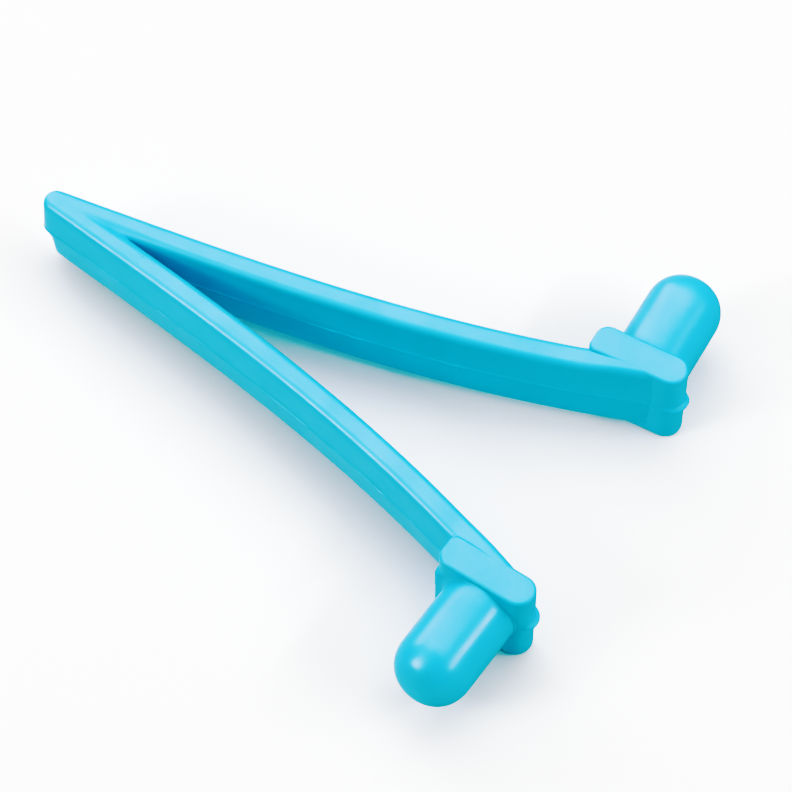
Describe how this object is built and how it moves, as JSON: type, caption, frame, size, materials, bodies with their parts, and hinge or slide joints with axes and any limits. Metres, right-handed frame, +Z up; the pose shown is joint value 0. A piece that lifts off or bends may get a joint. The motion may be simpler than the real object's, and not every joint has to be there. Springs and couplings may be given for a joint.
{
  "type": "pole spring clip",
  "caption": "V-shaped moulded spring clip with two squeezable arms, each ending in a shouldered head and a round-ended locking pin that points outwards through a pole's holes.",
  "frame": {"origin": "middle of the clip's length and width, on the plane that the undersides of the two heads rest on", "axes": "+X from the apex to the heads, +Y to the clip's left pin, +Z up through the height of the arms"},
  "size_m": [0.0638, 0.052, 0.0094],
  "materials": {
    "clip_plastic": "injection-moulded sky-blue polypropylene, satin gloss, very slightly translucent"
  },
  "bodies": {
    "apex": {"apex": "clip_plastic"},
    "left_inner": {"left_inner_arm": "clip_plastic"},
    "left_outer": {"left_outer_arm": "clip_plastic", "left_head": "clip_plastic", "left_pin": "clip_plastic"},
    "right_inner": {"right_inner_arm": "clip_plastic"},
    "right_outer": {"right_outer_arm": "clip_plastic", "right_head": "clip_plastic", "right_pin": "clip_plastic"}
  },
  "joints": [
    {"name": "left_root_flex", "type": "hinge", "parent": "apex", "child": "left_inner", "pos_m": [-0.01369, 0.00253, 0.005], "axis": [0, 0, -1], "range_deg": [0, 11.5], "stiffness_Nm_per_rad": 1.16},
    {"name": "left_mid_flex", "type": "hinge", "parent": "left_inner", "child": "left_outer", "pos_m": [0.00631, 0.00641, 0.005], "axis": [0, 0, -1], "range_deg": [0, 6.9]},
    {"name": "right_root_flex", "type": "hinge", "parent": "apex", "child": "right_inner", "pos_m": [-0.01369, -0.00253, 0.005], "axis": [0, 0, 1], "range_deg": [0, 11.5], "stiffness_Nm_per_rad": 1.16},
    {"name": "right_mid_flex", "type": "hinge", "parent": "right_inner", "child": "right_outer", "pos_m": [0.00631, -0.00641, 0.005], "axis": [0, 0, 1], "range_deg": [0, 6.9]}
  ],
  "couplings": [
    {"joint": "left_mid_flex", "follows": "left_root_flex", "ratio": 0.6},
    {"joint": "right_mid_flex", "follows": "right_root_flex", "ratio": 0.6}
  ]
}
